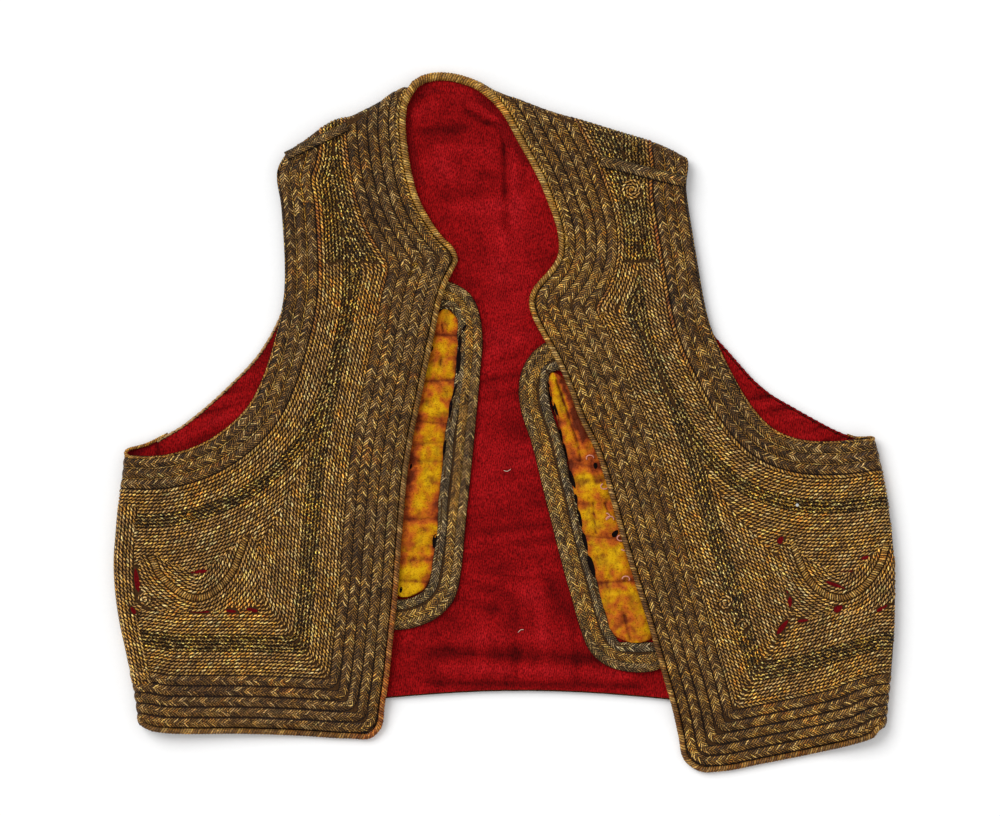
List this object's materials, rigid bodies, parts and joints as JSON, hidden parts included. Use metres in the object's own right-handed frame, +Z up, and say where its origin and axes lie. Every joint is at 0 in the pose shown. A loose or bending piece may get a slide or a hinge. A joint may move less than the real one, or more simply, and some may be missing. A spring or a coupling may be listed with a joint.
{
  "type": "embroidered waistcoat, laid flat and open",
  "caption": "Sleeveless waistcoat laid flat and face up: couched and braided fronts lie open over a red lined back, with silk filled plackets under each front edge.",
  "frame": {"origin": "on the table, under the middle of the laid-out garment", "axes": "+Z up from the table, +Y towards the neck, +X towards the wearer's left"},
  "size_m": [0.5464, 0.49, 0.0122],
  "materials": {
    "braided_cloth": "raised braid and couched metal thread",
    "red_lining": "matt wool twill",
    "yellow_silk": "soft sheen, gathered",
    "gold_cord": "twisted gold thread"
  },
  "bodies": {
    "root": {"back": "braided_cloth", "lining": "red_lining", "front_left": "braided_cloth", "front_right": "braided_cloth", "placket_left": "braided_cloth", "placket_right": "braided_cloth", "silk_left": "yellow_silk", "silk_right": "yellow_silk", "neck_cord": "gold_cord", "edge_cord_left": "gold_cord", "edge_cord_right": "gold_cord", "shoulder_braid_left": "braided_cloth", "shoulder_braid_right": "braided_cloth"}
  },
  "joints": []
}
